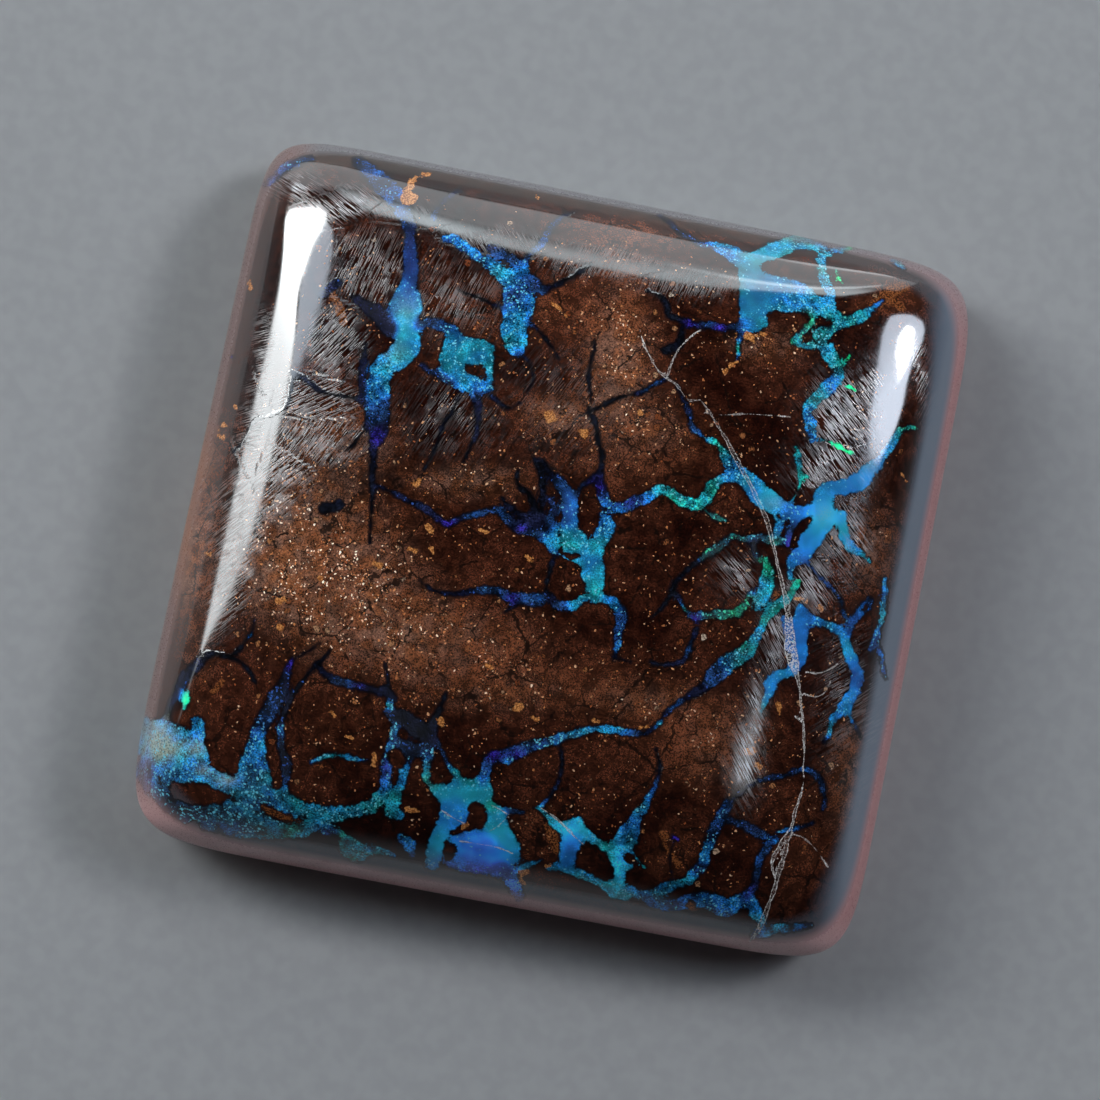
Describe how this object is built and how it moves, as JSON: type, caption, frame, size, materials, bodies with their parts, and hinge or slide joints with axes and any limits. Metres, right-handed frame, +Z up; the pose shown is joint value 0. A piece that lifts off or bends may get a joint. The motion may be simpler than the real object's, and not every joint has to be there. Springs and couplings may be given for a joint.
{
  "type": "boulder opal cabochon",
  "caption": "Square pillow-domed cabochon of brown ironstone crossed by blue-green opal veins, polished all over, with a flat back to lie on or be set by.",
  "frame": {"origin": "on the flat back, under the middle of the stone's bounding box", "axes": "+X and +Y along the sides of the face, +Z up out of the polished dome"},
  "size_m": [0.0282, 0.0274, 0.0066],
  "materials": {
    "opal_ironstone": "polished"
  },
  "bodies": {
    "root": {"opal_cabochon": "opal_ironstone"}
  },
  "joints": []
}
